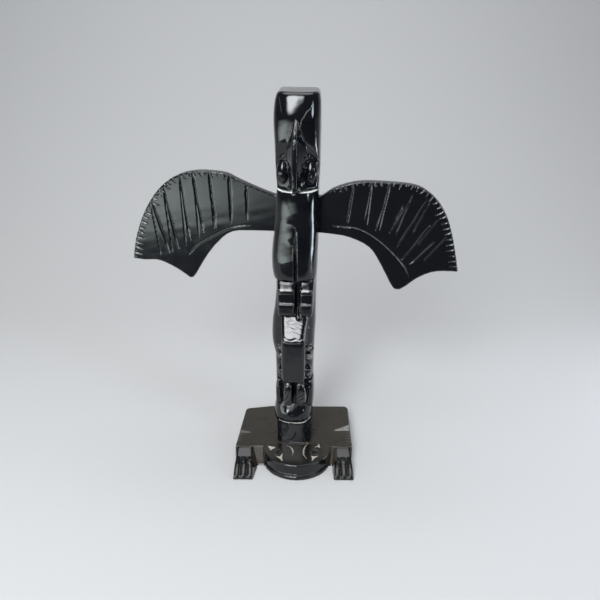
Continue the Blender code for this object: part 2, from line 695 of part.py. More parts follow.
def foreleg(name, side, length):
    """A foreleg from the wrist to its toes, flat below, with a groove between each two toes."""
    x_mid = side * (BASE_WIDTH - PAW_WIDTH) / 2
    rings = []
    count = TOE_COUNT * TOE_STEPS
    inner_end = 0 if side > 0 else count
    side_share = RIGHT_SPREAD if side > 0 else 1.0
    for forward, width, height, groove_share, spread in PAW_ROWS:
        ring = []
        for i in range(count + 1):
            across = 2 * i / count - 1
            in_toe = 2 * (i % TOE_STEPS) / TOE_STEPS - 1 if i < count else 1.0
            dip = abs(in_toe) ** TOE_POWER if 0 < i < count else 0.0
            top = height * BASE_THICK * (1 - abs(across) ** PAW_POWER) ** (1 / PAW_POWER)
            y = -CROTCH_OUT - forward * length + TOE_TIP * in_toe ** 2 * groove_share
            reach = width + spread * side_share if i == inner_end else width
            ring.append((x_mid + across * reach * PAW_WIDTH / 2, y, top * (1 - groove_share * dip)))
        rings.append(ring)
    bm = bmesh.new()
    loft(bm, rings)
    return add_object(name, bm)


def main():
    clear_scene()
    gloss = lacquer("black_lacquer", BLACK, 0.12)
    dusty = lacquer("dusty_black_lacquer", DUSTY_BLACK, 0.25)
    place = bpy.data.objects.new("pole_place", None)
    bpy.context.collection.objects.link(place)
    place.location = (POLE_X, POLE_Y, BASE_THICK + GAP)
    place.rotation_euler = (0, 0, POLE_TURN)
    pairs = ((pole_solid(place), gloss), (wings_board(place), gloss), (base_board(), dusty))
    for thing, material in pairs:
        thing.data.materials.append(material)


main()
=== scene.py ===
"""Looks of the small carved totem: hand-carved wood under glossy black lacquer, in a plain studio.

Each solid is copied, remeshed finely, smoothed like lacquered wood and carved with its fine relief.
The tables of carving give millimetres on the face that is carved. The rest is in metres.
"""
import math

import bpy
import numpy as np
from mathutils import Matrix, Vector


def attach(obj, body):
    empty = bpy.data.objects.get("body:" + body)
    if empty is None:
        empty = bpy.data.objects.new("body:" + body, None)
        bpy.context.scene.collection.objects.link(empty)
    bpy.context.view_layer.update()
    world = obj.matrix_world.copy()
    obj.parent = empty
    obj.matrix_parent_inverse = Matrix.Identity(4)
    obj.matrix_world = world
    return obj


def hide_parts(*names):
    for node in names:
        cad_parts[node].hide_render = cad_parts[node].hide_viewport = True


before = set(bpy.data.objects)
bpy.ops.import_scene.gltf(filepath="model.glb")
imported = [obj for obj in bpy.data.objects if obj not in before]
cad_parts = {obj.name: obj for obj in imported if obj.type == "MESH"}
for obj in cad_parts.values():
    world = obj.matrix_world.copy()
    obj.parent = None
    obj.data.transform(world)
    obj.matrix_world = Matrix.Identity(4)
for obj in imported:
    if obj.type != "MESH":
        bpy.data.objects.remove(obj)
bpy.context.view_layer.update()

# Where the pole and the wings stand on the base, as in the solids
BASE_THICK = 0.022
BASE_WIDTH = 0.172
GAP = 0.0003
POLE_TURN = math.radians(-5.0)
POLE_X = 0.0015
POLE_Y = 0.004
WING_HEIGHT = 0.3555
MM = 0.001

# Remeshing: size of the voxels, and the most triangles that a piece keeps
VOXEL = 0.00075
MOST_TRIANGLES = 190000
# Smoothing: shares of a step in and a step out, which together keep the size
IN_AND_OUT = (0.5, -0.52)
# Blending of facets: what moves less than the first length is a facet, more than the second an edge
FACET_AND_EDGE = (0.35, 0.7)
EDGE_GROWS = 5
EDGE_SOFTENS = 8

# Hand-worked waviness of each piece: height, length and seed of its waves
POLE_WAVES = ((0.15, 30.0, 3), (0.04, 10.0, 4))
WING_WAVES = ((0.06, 40.0, 5), (0.025, 12.0, 6))
BASE_WAVES = ((0.08, 35.0, 7), (0.02, 11.0, 8))

# The tables below hold lines and ovals on a face: on the pole as across and level over the base,
# on the wings as out and up from their middle, on the base as across and back.
# A cut is a line, its width, its depth, and how light it is made, which in places is a painted highlight
BIRD_CUTS = [
    # thin ridges that the knife left on the forehead, lightened as a painted highlight, brighter on the
    # right
    ([(21, 480), (18, 476), (14.5, 473.5), (11, 467), (8.4, 464), (7.2, 455)], 0.9, 0.3, 0.35),
    ([(-18.6, 490), (-17.2, 481), (-14.5, 471)], 0.9, 0.25, 0.1),
    # brows
    ([(12.2, 420.9), (17.8, 422.3), (24, 417), (29.5, 410.5)], 1.9, 1.6, 0.0),
    ([(-9.0, 423.4), (-14.5, 421.6), (-19, 417)], 1.5, 1.3, 0.0),
    # slit of the right eye
    ([(17.2, 392), (20.0, 397.5), (23.4, 405)], 2.4, 0.9, 0.0),
    # the line that goes on above the crease between the thighs
    ([(0.8, 333), (2.6, 327), (2.4, 318), (2.4, 300)], 1.6, 1.2, 0.1),
]
# A painted highlight is a line, its width, and how light it is painted
BIRD_HIGHLIGHTS = [
    # painted highlights along the edges of the brows
    ([(2.2, 465), (6.9, 455.5), (12.5, 440), (19.9, 432.5), (27.4, 423)], 0.6, 0.16),
    ([(0.6, 462), (-4.5, 444), (-10, 428.7), (-13, 418)], 0.5, 0.12),
    # painted highlights: fine lines beside the crease
    ([(-0.9, 308), (-1.3, 289)], 0.7, 0.25),
    ([(4.6, 308), (4.9, 291)], 0.6, 0.18),
]
# A mound is its middle, its radii and its height: the forehead, top of the beak's ridge, top of the thighs
BIRD_MOUNDS = [((-3, 466), (20, 24), 1.0), ((2.3, 451), (3.4, 9), 0.8), ((-3.0, 322), (12, 16), 1.1)]
EYE_MIDDLES = [(19.4, 399.5), (-15.6, 399.5)]
EYE_RADII = (8.4, 14.6)
EYE_LINE = {"width": 1.0, "deep": 0.2}
# The beak's ridge keeps its lacquer between two levels, and parts the painted highlight on the rim below
RIDGE_ACROSS = 2.3
RIDGE_HALF = 3.5
RIDGE_LEVELS = (378, 446)
RIM_LOW = (376.6, 377.1)
RIM_HIGH = (378.2, 378.7)
RIM_PARTS = (3.0, 4.0)
# The chest's keel runs down to the right from its top, and is steeper on its right side
KEEL_TOP = (-14, 372)
KEEL_RUN = (0.354, 0.935)
KEEL_HEIGHT = 0.2
KEEL_STARTS = (-4, 8)
KEEL_ENDS = (30, 40)
KEEL_LEFT = (-14, 0)
KEEL_RIGHT = (0, 4.5)
# Feet: where each goes from and to, the levels of their edges that carry painted highlights, and of the
# cut between them
FEET = ((-20.8, 0.6), (7.6, 25.5))
FOOT_HIGHLIGHTS = ((230.9, 0.6, 0.2), (249.6, 0.7, 0.45))
FOOT_CUT = 244.4
FOOT_TAPER = 0.02

# Curved cuts of the bear, as line, width, depth and how light they are made
BEAR_CURVES = [
    # ragged knife lines over the forehead
    ([(-15, 206.0), (-7.5, 204.2), (0, 206.2), (6, 204.6), (15, 204.8)], 1.0, 0.16, 0.0),
    ([(-16, 198.8), (-10, 197.4), (-3, 198.4), (3, 196.4), (9, 197.4), (16, 196.0)], 1.3, 0.22, 0.0),
    ([(-8, 202.4), (-1, 201.6), (6, 202.6), (14, 200.6)], 1.0, 0.15, 0.0),
    ([(-12, 193.4), (-4, 192.0), (2, 193.0), (12, 190.6)], 1.0, 0.16, 0.0),
    ([(-13, 187.5), (-8.5, 184.0), (-2, 182.6), (5, 184.6), (10, 183.4), (14, 186.5)], 2.2, 0.36, 0.0),
    # paws: a knuckle line above, toes below; their light rub is partly a painted highlight on the strokes
    ([(-12.6, 107.5), (-6, 110.4), (0.6, 107.4)], 1.2, 0.5, 0.15),
    ([(4.2, 109.0), (10.7, 113.2), (16.2, 109.4), (18.6, 101.5)], 1.2, 0.5, 0.18),
    ([(7.6, 94.0), (12.4, 98.6), (16.0, 100.3)], 1.1, 0.4, 0.12),
    ([(8.3, 88.8), (13.1, 93.6), (16.8, 94.6)], 1.1, 0.4, 0.12),
    ([(10.4, 84.2), (14.5, 87.8), (17.3, 88.8)], 1.1, 0.4, 0.12),
    ([(-10.2, 90.4), (-8.1, 97.4), (-5.4, 101.6)], 1.1, 0.4, 0.12),
    ([(-6.8, 87.0), (-3.9, 94.4), (-2.6, 100.2)], 1.1, 0.4, 0.12),
    ([(-10.4, 84.0), (-7.6, 87.4), (-5.0, 87.8)], 1.1, 0.4, 0.12),
]
# Faint upright tool marks on the snout: across, top and bottom
SNOUT_MARKS = [(-8, 152, 128), (-3.5, 140, 118), (1.5, 158, 122), (7.5, 150, 126)]
BEAR_RUBS = [
    # edge at the top of the snout, a spot beside it, and where the post meets the base
    ([(-13.5, 180.2), (-5, 178.4), (4, 178.6), (15, 180.4)], 0.8, 0.25),
    ([(19.5, 192.5), (21.0, 189.0)], 1.2, 0.7),
    ([(-9, 0.6), (3, 0.8), (25, 0.6)], 1.3, 0.5),
]
# Slots beside the paws, cut less deep than their edges suggest, and the collar's two swellings
BEAR_MOUNDS = [
    ((-14.3, 93), (3.0, 24), 4.0), ((17.0, 93), (3.0, 24), 4.0),
    ((-9.0, 56.5), (6.5, 7), 0.7), ((13.5, 57.5), (7.5, 7), 0.7),
]
COLLAR_TOP = [(-19, 71), (-14, 67.2), (-7, 69.0), (0, 66.2), (7, 68.6), (14, 67.4), (24, 69.2)]
# lip of the collar, where a highlight is painted
COLLAR_LIP = [(-20.5, 43.4), (-9.9, 41.4), (1.7, 40.8), (14.7, 41.4), (24.0, 43.2)]
# Cuts of one cheek as out from the bear's middle and level: brow strokes, eyelids, mouth strokes, with
# light that is a painted highlight on their edges.
# Each side has its own share of these painted highlights, less on the shaded left
BEAR_MIDDLE = 1.3
CHEEK_CUTS = [
    ([(17.2, 153.4), (19.4, 158.6), (24.8, 163.0)], 1.1, 0.8, 0.85),
    ([(17.4, 157.4), (19.6, 161.6), (22.6, 164.2)], 0.8, 0.6, 0.6),
    ([(17.2, 152.0), (20.6, 154.4), (27.0, 151.0)], 0.9, 0.6, 0.0),
    ([(17.4, 139.6), (21.0, 138.8), (26.0, 140.6)], 0.9, 0.5, 0.0),
    ([(18.0, 119.0), (23.4, 123.8), (27.0, 124.9)], 1.1, 0.7, 0.85),
    ([(18.6, 114.0), (23.4, 117.3), (27.2, 115.1)], 1.0, 0.7, 0.9),
    ([(20.0, 110.6), (25.0, 113.0)], 0.8, 0.5, 0.6),
]
# sides and their share of the painted highlights and the painted eye reflection: the left cheek lies in
# shade
CHEEK_SIDES_LIT = ((-1, 0.35), (1, 1.0))
EYEBALL = ((21.2, 146.4), (7.0, 6.0), 0.7)
# painted reflection on the upper part of the bear's eyeball: middle and radii, how light, and where it
# begins above its lower edge
EYE_SHEEN = ((21.0, 146.4), (5.2, 5.0))
EYE_SHEEN_AMOUNT = 0.55
EYE_SHEEN_FLOOR = (-3.5, -2.0)

# Wing edges that are notched
LEFT_EDGE = [
    (84, 46.5), (97, 52.3), (120, 54.6), (139, 54.2), (158, 49.8), (177, 39.8), (197, 20.2),
    (213.6, -6.0), (226, -36), (231.5, -56), (234.5, -70),
]
RIGHT_EDGE = [
    (47, 36.2), (72, 44.6), (90, 46.6), (121, 46.0), (146, 44.2), (163, 39.2), (182, 24.9),
    (196.7, 3.6), (207.3, -25.2), (214.5, -52), (219.3, -72),
]
# Feather grooves: their two ends
LEFT_GROOVES = [
    ((69.6, 35), (69, -8)), ((92, 51), (91, -11)), ((119.4, 53), (113.5, -22)),
    ((142, 51), (131, -30)), ((159.5, 47), (150, -41)), ((182.6, 31), (168, -54)),
    ((200, 10), (181, -61)),
]
RIGHT_GROOVES = [
    ((72.2, 44), (64.5, -9)), ((96, 45), (88, -4)), ((119.7, 44), (104, -19)),
    ((147, 22), (122, -22)), ((138, 17), (126, -16)), ((169, 26), (133, -42)),
    ((176, -9), (142, -60)), ((184, -32), (153, -66)),
]
GROOVE_SHARES = (0, 0.25, 0.5, 0.75, 1)
GROOVE_WANDERS = 0.35
LEFT_QUILL = [(66, -17), (92, -21.2), (118, -34.7), (142, -49), (151, -60)]
RIGHT_QUILL = [
    (44.7, -14.9), (61.5, -15.6), (80.8, -17.7), (103, -29), (125, -46.6), (146, -68.7), (154, -86),
]
# Notches of the edge: how far apart, how long, and how much longer towards the wing's tip
NOTCH_STEP = 8.0
NOTCH_LONG = (4.0, 8.0)
NOTCH_LONGER = 5.0
NOTCH_TIP = (160, 225)
NOTCH_LEAN = (-0.25, -0.1)
WING_SEED = 11

# Eyes of the base's face: middle of the iris, its radius, and the chips at the eye's corners
IRISES = [((-24.2, -42.5), 6.4), ((31.6, -41.5), 6.4)]
EYE_CHIPS = [
    [(-38.5, -27.5), (-26.1, -31.0), (-34.0, -39.0)],
    [(-27.6, -50.4), (-20.5, -52.6), (-15.0, -42.8), (-16.2, -52.0), (-15.4, -64.0), (-21.0, -56.0)],
    [(36.8, -20.0), (39.2, -32.0), (34.5, -29.5), (27.6, -31.2), (35.0, -27.0)],
    [(24.8, -48.6), (28.4, -51.4), (37.0, -50.0), (31.0, -54.4), (26.2, -63.0), (26.0, -54.0)],
]
BROW_ARCS = [
    [(-10.5, -26.6), (-5.8, -29.4), (-2.4, -35.0), (-0.9, -42.0), (-2.0, -49.5)],
    [(20.9, -20.6), (16.4, -29.0), (14.2, -37.2), (14.2, -47.5), (18.5, -56.7)],
]
# Light spots of the base's top: a chip at the left, and the line where the post stands
LEFT_SPOT = [(-41.5, 10.8), (-39, 10.6)]
POST_FOOT = [(-25, -19), (-12, -21.5), (0, -22.5), (14, -23), (24, -22)]
# Facets that the knife left on the wrists
WRIST_MOUNDS = [
    ((-63, -56), (5.5, 8.5), 1.6), ((-74, -52), (5.5, 7), 0.8),
    ((71, -53), (11, 6.5), 1.6), ((66, -62), (5, 6), 0.7),
]
# Painted highlights on the facets of the flank chips: side, from and to along the flank, and how light
# they are
FLANK_CHIP_HIGHLIGHTS = ((-1, 1, 16, 0.2), (1, 8, 32, 0.6))
FLANK_INNER = 50
FLANK_LOW = 12
# Nicks of the flanks: side, where they begin and how many; their light rub is a painted highlight
FLANK_NICKS = ((-1, 0.5, 3), (1, 6.0, 4))
NICK_STEP = 7.2
NICK_ENDS = (87.5, 78.5)
NICK_LEAN = 0.8
# Webs between the forelegs and the jaw: their middles, half their width, and what they span
WEB_MIDDLE = 1.5
WEB_OUT = 52
WEB_HALF = 9
WEB_BACK = (-52, -20)
WEB_LEVELS = (2, 21.4)
WEB_PERIOD = 2.3
WEB_WANDERS = (0.6, 0.3)
# Toes: in front of the first, further out than the second, and between two levels
TOES_FRONT = -60
TOES_OUT = 55
TOES_LEVELS = (1.5, 14)
TOES_PERIOD = 3.1
TOES_SHIFT = 1.0
# The face's plate has less of the dust and of the painted brown reflection: how its front and its sides
# begin
PLATE_MIDDLE = 4.5
PLATE_FRONT = (18, 26)
PLATE_SIDES = (26, 44)
UNDER_EDGE = 1.5

# Lacquers: color, color where it is rubbed and where highlights are painted, color of the bare wood (also
# used for painted highlights), roughness, and the brown of dust and of a painted reflection
LACQUERS = {
    "pole_lacquer": (
        (0.003, 0.0035, 0.005, 1), (0.34, 0.33, 0.31, 1), (0.75, 0.74, 0.70, 1), 0.08, None),
    "wing_lacquer": (
        (0.003, 0.0035, 0.005, 1), (0.40, 0.39, 0.37, 1), (0.42, 0.33, 0.22, 1), 0.13, None),
    "base_lacquer": (
        (0.004, 0.004, 0.004, 1), (0.36, 0.35, 0.33, 1), (0.45, 0.42, 0.36, 1), 0.12,
        (0.034, 0.029, 0.022, 1)),
}
LACQUER_IOR = 1.5
BUMP_STRENGTH = 0.06
BUMP_DISTANCE = 0.0005

# Floor: y of its front, where its round to the backdrop begins and the round's radius, and its colors,
# pale in the picture and dark in front of it, so that upright fronts don't reflect a bright floor
FLOOR_FRONT = -3.0
FLOOR_ROUND = 0.45
ROUND_RADIUS = 1.5
ROUND_STEPS = 16
WALL_HEIGHT = 4.0
FLOOR_HALF_WIDTH = 5.0
FLOOR_DARKENS = (-0.52, -0.28)
FLOOR_DARK = (0.05, 0.05, 0.055, 1)
FLOOR_PALE = (0.52, 0.52, 0.525, 1)
WORLD_COLOR = (0.62, 0.66, 0.72, 1)
WORLD_STRENGTH = 0.14

# Lamps: azimuth from the front, positive to the right, and elevation in degrees, distance from the
# pole, width and height, radiance, color, and how much of the oval fades out
LAMP_FOCUS = (0, 0, 0.35)
WHITE = (1.0, 1.0, 1.0)
DAYLIGHT = (0.95, 0.98, 1.0)
BLUISH = (0.78, 0.89, 1.0)
GREENISH = (0.88, 1.0, 0.96)
LAMPS = {
    "ceiling": (180, 88, 1.8, (2.6, 2.6), 3.0, WHITE, 0.4),
    "window": (-18.5, 31, 2.2, (1.35, 2.1), 17, DAYLIGHT, 0.7),
    "right_window": (52, 9, 1.6, (0.56, 0.60), 14, BLUISH, 0.5),
    "right_strip": (92, -13, 0.95, (0.36, 0.32), 13, BLUISH, 0.5),
    "left_panel": (-49, -14, 1.1, (2.2, 0.6), 5.0, GREENISH, 0.9),
}

# Camera, as worked out from the photograph
CAMERA_PLACE = (0.0074, -0.7735, 0.589)
CAMERA_DOWN = math.radians(24.0)
CAMERA_ROLL = math.radians(0.45)
CAMERA_SENSOR = 36.0
CAMERA_LENS = 37.2
CAMERA_NEAR = 0.05


def turned(x, y):
    """World x and y along the pole's own directions."""
    c, s = math.cos(POLE_TURN), math.sin(POLE_TURN)
    return x * c + y * s, -x * s + y * c


def to_pole(points):
    """World points in the pole's own millimetres: across, back, level above the base."""
    across, back = turned(points[:, 0] - POLE_X, points[:, 1] - POLE_Y)
    return np.stack((across, back, points[:, 2] - BASE_THICK - GAP), axis=1) / MM


def turn_to_pole(vectors):
    across, back = turned(vectors[:, 0], vectors[:, 1])
    return np.stack((across, back, vectors[:, 2]), axis=1)


def triangulated(mesh):
    mesh.calc_loop_triangles()
    triangles = np.empty(len(mesh.loop_triangles) * 3, dtype=np.int32)
    mesh.loop_triangles.foreach_get("vertices", triangles)
    return triangles.reshape(-1, 3)


def points_of(mesh):
    points = np.empty(len(mesh.vertices) * 3, dtype=np.float64)
    mesh.vertices.foreach_get("co", points)
    return points.reshape(-1, 3)


def edges_of(mesh):
    edges = np.empty(len(mesh.edges) * 2, dtype=np.int32)
    mesh.edges.foreach_get("vertices", edges)
    return edges.reshape(-1, 2)


def normals_of(points, triangles):
    a, b, c = (points[triangles[:, i]] for i in range(3))
    face = np.cross(b - a, c - a)
    normals = np.zeros_like(points)
    for i in range(3):
        for axis in range(3):
            normals[:, axis] += np.bincount(triangles[:, i], weights=face[:, axis], minlength=len(points))
    length = np.linalg.norm(normals, axis=1, keepdims=True)
    return normals / np.maximum(length, 1e-12)


def neighbour_mean(values, edges, counts):
    result = np.empty_like(values)
    for axis in range(values.shape[1]):
        column = np.ascontiguousarray(values[:, axis])
        total = np.bincount(edges[:, 0], weights=column[edges[:, 1]], minlength=len(values))
        total += np.bincount(edges[:, 1], weights=column[edges[:, 0]], minlength=len(values))
        result[:, axis] = total / counts
    return result


def applied(thing):
    """The mesh that an object has after its modifiers."""
    graph = bpy.context.evaluated_depsgraph_get()
    return bpy.data.meshes.new_from_object(thing.evaluated_get(graph))


def remeshed(node):
    """A finely and evenly meshed copy of a CAD node, as a mesh of its own."""
    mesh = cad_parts[node].data.copy()
    thing = bpy.data.objects.new("work", mesh)
    bpy.context.collection.objects.link(thing)
    modifier = thing.modifiers.new("even", "REMESH")
    modifier.mode = "VOXEL"
    modifier.voxel_size = VOXEL
    result = applied(thing)
    bpy.data.objects.remove(thing, do_unlink=True)
    return result


def curved(line, steps=4):
    """A smooth curve through the points of a line."""
    line = np.asarray(line, float)
    padded = np.concatenate((line[:1], line, line[-1:]))
    result = []
    for a, b, c, d in zip(padded, padded[1:], padded[2:], padded[3:]):
        for step in range(steps):
            t = step / steps
            bend = (2 * a - 5 * b + 4 * c - d) * t * t + (3 * b - a - 3 * c + d) * t ** 3
            result.append(b + 0.5 * ((c - a) * t + bend))
    return np.array(result + [line[-1]])


def ellipse(middle, radii, steps=24):
    """Points around an upright ellipse, closed."""
    angles = [2 * math.pi * i / steps for i in range(steps + 1)]
    return [(middle[0] + radii[0] * math.cos(a), middle[1] + radii[1] * math.sin(a)) for a in angles]


def nearest_on_line(points, line):
    """Distance from 2-D points to a polyline, and the share of its length at the nearest point."""
    lengths = np.linalg.norm(np.diff(line, axis=0), axis=1)
    before = np.concatenate(([0], np.cumsum(lengths)))
    best = np.full(len(points), np.inf)
    along = np.zeros(len(points))
    for i, length in enumerate(lengths):
        start, run = line[i], line[i + 1] - line[i]
        t = np.clip(((points - start) @ run) / (length * length), 0, 1)
        distance = np.linalg.norm(points - start - t[:, None] * run, axis=1)
        nearer = distance < best
        best[nearer] = distance[nearer]
        along[nearer] = (before[i] + t[nearer] * length) / before[-1]
    return best, along


def soft_step(value, low, high):
    t = np.clip((value - low) / (high - low), 0, 1)
    return t * t * (3 - 2 * t)


def wave_noise(points, scale, seed):
    """Smooth bumps from a few waves in seeded directions, about -1 to 1."""
    rng = np.random.default_rng(seed)
    total = np.zeros(len(points))
    for _ in range(7):
        direction = rng.normal(size=3)
        direction /= np.linalg.norm(direction)
        length = scale * rng.uniform(0.6, 1.7)
        total += np.sin(points @ direction * (2 * math.pi / length) + rng.uniform(0, 2 * math.pi))
    return total / 3.5


class Carving:
    """One piece's fine mesh, and the relief, wear, bare wood and painted highlights that are carved into
    its face.
    """

    def __init__(self, node, rounds, blend=0):
        self.node = node
        self.mesh = remeshed(node)
        self.edges = edges_of(self.mesh)
        self.triangles = triangulated(self.mesh)
        self.points = points_of(self.mesh)
        self.counts = np.bincount(self.edges.ravel(), minlength=len(self.points)).astype(float)
        for _ in range(rounds):
            for share in IN_AND_OUT:
                self.points += share * (self.mean(self.points) - self.points)
        if blend:
            self.blend_facets(blend)
        self.normals = normals_of(self.points, self.triangles)
        self.push = np.zeros(len(self.points))
        # masks of wear and painted highlights, and of bare wood and painted highlights
        self.wear_and_highlight = np.zeros(len(self.points))
        self.bare_wood_and_highlight = np.zeros(len(self.points))
        self.dust_and_reflection = np.zeros(len(self.points))
        self.spared = np.zeros(len(self.points))

    def mean(self, values):
        return neighbour_mean(values, self.edges, self.counts)

    def smooth(self, values, rounds):
        for _ in range(rounds):
            values = values + 0.5 * (self.mean(values) - values)
        return values

    def blend_facets(self, rounds):
        """Blends the solid's flat facets into smooth curves, and keeps its real edges."""
        low = self.smooth(self.points, rounds)
        moved = low + self.smooth(self.points - low, rounds) - self.points
        away = np.linalg.norm(moved, axis=1, keepdims=True) / MM
        edge = soft_step(away, *FACET_AND_EDGE)
        for _ in range(EDGE_GROWS):
            edge = np.clip(np.maximum(edge, 2 * self.mean(edge)), 0, 1)
        self.points += (1 - self.smooth(edge, EDGE_SOFTENS)) * moved

    def face(self, flat, share):
        """Sets the plane that strokes are drawn on, and how much of each point lies on that face."""
        self.flat = flat
        self.share = share

    def stroke(self, line, width, taper, thin=0.3):
        """The points near a line on the face: 1 on the line, 0 at its width, thinner at its ends."""
        line = np.asarray(line, float)
        low, high = line.min(axis=0) - width, line.max(axis=0) + width
        inside = ((self.flat > low) & (self.flat < high)).all(axis=1) & (self.share > 0)
        near = np.nonzero(inside)[0]
        distance, along = nearest_on_line(self.flat[near], line)
        ends = np.clip(np.minimum(along, 1 - along) / taper, thin, 1)
        return near, np.clip(1 - distance / (width * ends), 0, 1) * self.share[near]

    def cut(self, line, width, deep, lighten=0.0, bare_wood_and_highlight=0.0, taper=0.15):
        """A V-shaped cut of the knife, lightened or given the bare wood colour where asked, for wear and
        for painted highlights.
        """
        near, amount = self.stroke(line, width, taper)
        self.push[near] -= amount * deep
        light = soft_step(amount, 0.15, 0.6)
        self.wear_and_highlight[near] = np.maximum(self.wear_and_highlight[near], lighten * light)
        self.bare_wood_and_highlight[near] = np.maximum(self.bare_wood_and_highlight[near], bare_wood_and_highlight * light)

    def lighten(self, line, width, amount, taper=0.15):
        """A lightened line, used for lacquer rubbed thin and for painted highlights."""
        near, nearness = self.stroke(line, width, taper)
        self.wear_and_highlight[near] = np.maximum(self.wear_and_highlight[near], amount * soft_step(nearness, 0.05, 0.6))

    def mound(self, middle, radii, high):
        """A soft swelling over an oval."""
        reach = np.linalg.norm((self.flat - middle) / np.asarray(radii), axis=1)
        amount = 0.5 + 0.5 * np.cos(math.pi * np.clip(reach, 0, 1))
        self.push += amount * high * self.share

    def chip(self, corners, deep, bare_wood_and_highlight, wall=1.2):
        """A flat-bottomed chip inside corners, cut with slanting walls."""
        corners = np.asarray(corners, float)
        boxed = (self.flat > corners.min(axis=0)) & (self.flat < corners.max(axis=0))
        near = np.nonzero(boxed.all(axis=1))[0]
        spots = self.flat[near]
        inside = np.zeros(len(near), dtype=bool)
        for a, b in zip(corners, np.roll(corners, -1, axis=0)):
            crosses = (a[1] > spots[:, 1]) != (b[1] > spots[:, 1])
            at = a[0] + (spots[:, 1] - a[1]) / (b[1] - a[1] + 1e-9) * (b[0] - a[0])
            inside ^= crosses & (spots[:, 0] < at)
        rim, _ = nearest_on_line(spots, np.concatenate((corners, corners[:1])))
        amount = inside * np.clip(rim / wall, 0, 1) * self.share[near]
        self.push[near] -= amount * deep
        self.bare_wood_and_highlight[near] = np.maximum(self.bare_wood_and_highlight[near], bare_wood_and_highlight * soft_step(amount, 0.05, 0.5))

    def ripple(self, places, waves, share=1):
        """The waviness of a hand-worked face."""
        self.push += share * sum(high * wave_noise(places, length, seed) for high, length, seed in waves)

    def rub_edges(self, points, lightened, tight):
        """Rubs the tight outer edges light, except where they are spared."""
        normals = normals_of(points, self.triangles)
        bulge = -np.einsum("ij,ij->i", self.mean(points) - points, normals)
        bulge = self.mean(self.mean(bulge[:, None]))[:, 0] / VOXEL
        self.wear_and_highlight = np.maximum(self.wear_and_highlight, lightened * (1 - self.spared) * soft_step(bulge, *tight))

    def finish(self, name, slot, lightened, tight):
        """Moves the mesh along its normals, rubs its edges and makes it stand for its node."""
        points = self.points + self.normals * (self.push * MM)[:, None]
        points[:, 2] = np.maximum(points[:, 2], 0.0)
        self.rub_edges(points, lightened, tight)
        mesh = self.mesh
        mesh.vertices.foreach_set("co", points.astype(np.float32).ravel())
        mesh.update()
        for key, values in (("wear_and_highlight", self.wear_and_highlight), ("bare_wood_and_highlight", self.bare_wood_and_highlight), ("dust_and_reflection", self.dust_and_reflection)):
            layer = mesh.attributes.new(key, "FLOAT", "POINT")
            layer.data.foreach_set("value", values.astype(np.float32))
        mesh.materials.clear()
        mesh.materials.append(lacquer_material(slot, *LACQUERS[slot]))
        thing = bpy.data.objects.new(name, mesh)
        bpy.context.collection.objects.link(thing)
        if len(self.triangles) > MOST_TRIANGLES:
            modifier = thing.modifiers.new("lighter", "DECIMATE")
            modifier.ratio = MOST_TRIANGLES / len(self.triangles)
            lighter = applied(thing)
            thing.modifiers.clear()
            thing.data = lighter
        thing.data.shade_smooth()
        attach(thing, "root")
        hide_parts(self.node)


def carve_bird(pole, x, level):
    """The bird's forehead, brows, eyes, rim, chest and feet."""
    for line, width, deep, lighten in BIRD_CUTS:
        pole.cut(line, width, deep, lighten)
    # painted highlights along the brows' edges and beside the crease
    for line, width, amount in BIRD_HIGHLIGHTS:
        pole.lighten(line, width, amount)
    for middle, radii, high in BIRD_MOUNDS:
        pole.mound(middle, radii, high)
    for middle in EYE_MIDDLES:
        pole.cut(ellipse(middle, EYE_RADII), **EYE_LINE)
    # the beak's ridge stays dark along its edge
    from_ridge = np.abs(x - RIDGE_ACROSS)
    low, high = RIDGE_LEVELS
    pole.spared = (from_ridge < RIDGE_HALF) & (level > low) & (level < high) & (pole.share > 0)
    # painted highlight along the rim of the chest under the face, in the bare wood colour
    rim = soft_step(level, *RIM_LOW) * (1 - soft_step(level, *RIM_HIGH)) * pole.share
    pole.bare_wood_and_highlight = np.maximum(pole.bare_wood_and_highlight, rim * soft_step(from_ridge, *RIM_PARTS))
    # keel of the chest
    right, up = x - KEEL_TOP[0], level - KEEL_TOP[1]
    along = right * KEEL_RUN[0] - up * KEEL_RUN[1]
    across = right * KEEL_RUN[1] + up * KEEL_RUN[0]
    ridge = soft_step(across, *KEEL_LEFT) * (1 - soft_step(across, *KEEL_RIGHT))
    ends = soft_step(along, *KEEL_STARTS) * (1 - soft_step(along, *KEEL_ENDS))
    pole.push += KEEL_HEIGHT * ridge * ends * pole.share
    for left, right in FEET:
        # painted highlights along the edges of the feet
        for height, width, amount in FOOT_HIGHLIGHTS:
            pole.lighten([(left, height), (right, height)], width, amount, taper=FOOT_TAPER)
        pole.cut([(left, FOOT_CUT), (right, FOOT_CUT)], 0.8, 0.3, lighten=0.15, taper=FOOT_TAPER)


def on_cheek(side, out, level):
    """A place on the bear's left (-1) or right (1) cheek, from its distance to the middle."""
    return BEAR_MIDDLE + side * out, level


